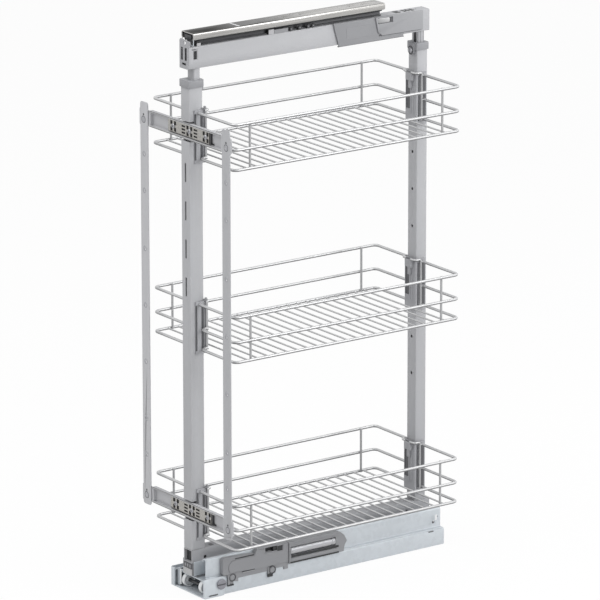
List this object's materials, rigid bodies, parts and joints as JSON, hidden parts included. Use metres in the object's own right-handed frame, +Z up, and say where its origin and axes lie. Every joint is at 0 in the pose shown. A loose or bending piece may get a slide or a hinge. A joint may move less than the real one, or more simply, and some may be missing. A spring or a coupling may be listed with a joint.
{
  "type": "pull out larder unit",
  "caption": "Narrow pull out larder frame with a roller floor runner, height-adjustable top beam and slide, hung wire baskets and brackets for a door front.",
  "frame": {"origin": "Centre point between the two uprights, on the underside of the base rail, the face that lies on the cabinet floor.", "axes": "+X across the cabinet to the right seen from the front, -Y out of the cabinet front, +Z up. The unit is pushed in."},
  "size_m": [0.264, 0.506, 0.9672],
  "materials": {
    "galvanised": "galvanised",
    "satin_grey": "satin",
    "wire_silver": "silver satin",
    "moulded_grey": "fine grained",
    "chrome": "polished",
    "roller_white": "smooth",
    "screw_steel": "zinc plated",
    "black_plastic": "fine grained"
  },
  "bodies": {
    "cabinet_side": {"base_rail": "galvanised", "side_guide_rail": "galvanised", "roller_cheek_near": "galvanised", "roller_cheek_far": "galvanised", "front_roller_axle": "screw_steel", "soft_close_housing": "moulded_grey", "damper_cradle": "moulded_grey", "damper_cylinder": "chrome"},
    "front_rollers": {"front_roller_left": "roller_white", "front_roller_right": "roller_white"},
    "cheek_screw": {"adjusting_screw": "screw_steel"},
    "catch": {"soft_close_catch": "black_plastic"},
    "middle_runner": {"middle_rail": "galvanised", "front_glide_shoe": "moulded_grey", "rear_roller_axle": "screw_steel"},
    "rear_rollers": {"rear_roller_left": "roller_white", "rear_roller_right": "roller_white"},
    "frame": {"carriage_rail": "galvanised", "carriage_end_cap": "moulded_grey", "rear_glide_shoe": "roller_white", "bottom_beam": "satin_grey", "front_upright": "satin_grey", "rear_upright": "satin_grey", "front_collar": "moulded_grey", "rear_collar": "moulded_grey", "lower_front_bracket": "moulded_grey", "lower_rear_bracket": "moulded_grey", "middle_front_bracket": "moulded_grey", "middle_rear_bracket": "moulded_grey", "upper_front_bracket": "moulded_grey", "upper_rear_bracket": "moulded_grey", "lower_door_carrier": "screw_steel", "upper_door_carrier": "screw_steel", "lower_adjusting_plate": "chrome", "upper_adjusting_plate": "chrome"},
    "door_mount": {"lower_door_channel": "satin_grey", "upper_door_channel": "satin_grey", "left_door_strip": "satin_grey", "right_door_strip": "satin_grey"},
    "lower_basket": {"lower_basket_floor": "wire_silver", "lower_basket_sides": "wire_silver"},
    "middle_basket": {"middle_basket_floor": "wire_silver", "middle_basket_sides": "wire_silver"},
    "upper_basket": {"upper_basket_floor": "wire_silver", "upper_basket_sides": "wire_silver"},
    "top_assembly": {"front_inner_post": "satin_grey", "rear_inner_post": "satin_grey", "top_beam": "satin_grey", "top_front_cap": "satin_grey", "top_damper_cover": "moulded_grey", "top_latch_cover": "moulded_grey", "top_latch": "chrome", "top_inner_rail": "screw_steel"},
    "top_middle": {"top_middle_rail": "screw_steel"},
    "top_cages": {"top_left_ball_cage": "screw_steel", "top_right_ball_cage": "screw_steel"},
    "top_fixed": {"top_fixed_rail": "chrome"},
    "front_clamp": {"front_clamp_screw": "screw_steel"},
    "rear_clamp": {"rear_clamp_screw": "screw_steel"}
  },
  "joints": [
    {"name": "frame_slide", "type": "slide", "parent": "cabinet_side", "child": "frame", "axis": [0, -1, 0], "range_m": [0, 0.47]},
    {"name": "middle_slide", "type": "slide", "parent": "cabinet_side", "child": "middle_runner", "axis": [0, -1, 0], "range_m": [0, 0.235]},
    {"name": "front_roller_spin", "type": "hinge", "parent": "cabinet_side", "child": "front_rollers", "pos_m": [0, -0.232, 0.0145], "axis": [1, 0, 0], "range_deg": [0, 1180]},
    {"name": "rear_roller_spin", "type": "hinge", "parent": "middle_runner", "child": "rear_rollers", "pos_m": [0, 0.2, 0.015], "axis": [1, 0, 0], "range_deg": [0, 1090]},
    {"name": "height_adjust", "type": "slide", "parent": "frame", "child": "top_assembly", "axis": [0, 0, 1], "range_m": [-0.018, 0.1]},
    {"name": "top_middle_slide", "type": "slide", "parent": "top_assembly", "child": "top_middle", "axis": [0, -1, 0], "range_m": [-0.235, 0]},
    {"name": "top_cage_slide", "type": "slide", "parent": "top_assembly", "child": "top_cages", "axis": [0, -1, 0], "range_m": [-0.3525, 0]},
    {"name": "top_fixed_slide", "type": "slide", "parent": "top_assembly", "child": "top_fixed", "axis": [0, -1, 0], "range_m": [-0.47, 0]},
    {"name": "lower_basket_lift", "type": "slide", "parent": "frame", "child": "lower_basket", "axis": [0, 0, 1], "range_m": [0, 0.03]},
    {"name": "middle_basket_lift", "type": "slide", "parent": "frame", "child": "middle_basket", "axis": [0, 0, 1], "range_m": [0, 0.03]},
    {"name": "upper_basket_lift", "type": "slide", "parent": "frame", "child": "upper_basket", "axis": [0, 0, 1], "range_m": [0, 0.03]},
    {"name": "door_side_adjust", "type": "slide", "parent": "frame", "child": "door_mount", "axis": [1, 0, 0], "range_m": [-0.005, 0.005]},
    {"name": "catch_slide", "type": "slide", "parent": "cabinet_side", "child": "catch", "axis": [0, -1, 0], "range_m": [0, 0.016]},
    {"name": "cheek_screw_turn", "type": "hinge", "parent": "cabinet_side", "child": "cheek_screw", "pos_m": [0.049, -0.213, 0.021], "axis": [1, 0, 0], "range_deg": [-180, 180]},
    {"name": "front_clamp_turn", "type": "hinge", "parent": "frame", "child": "front_clamp", "pos_m": [0, -0.218, 0.8738], "axis": [0, 1, 0], "range_deg": [-180, 0]},
    {"name": "rear_clamp_turn", "type": "hinge", "parent": "frame", "child": "rear_clamp", "pos_m": [0, 0.218, 0.8738], "axis": [0, -1, 0], "range_deg": [-180, 0]}
  ],
  "couplings": [
    {"joint": "middle_slide", "follows": "frame_slide", "ratio": 0.5},
    {"joint": "front_roller_spin", "follows": "frame_slide", "rad_per_m": 43.478},
    {"joint": "rear_roller_spin", "follows": "frame_slide", "rad_per_m": 40},
    {"joint": "top_middle_slide", "follows": "frame_slide", "ratio": -0.5},
    {"joint": "top_cage_slide", "follows": "frame_slide", "ratio": -0.75},
    {"joint": "top_fixed_slide", "follows": "frame_slide", "ratio": -1}
  ]
}
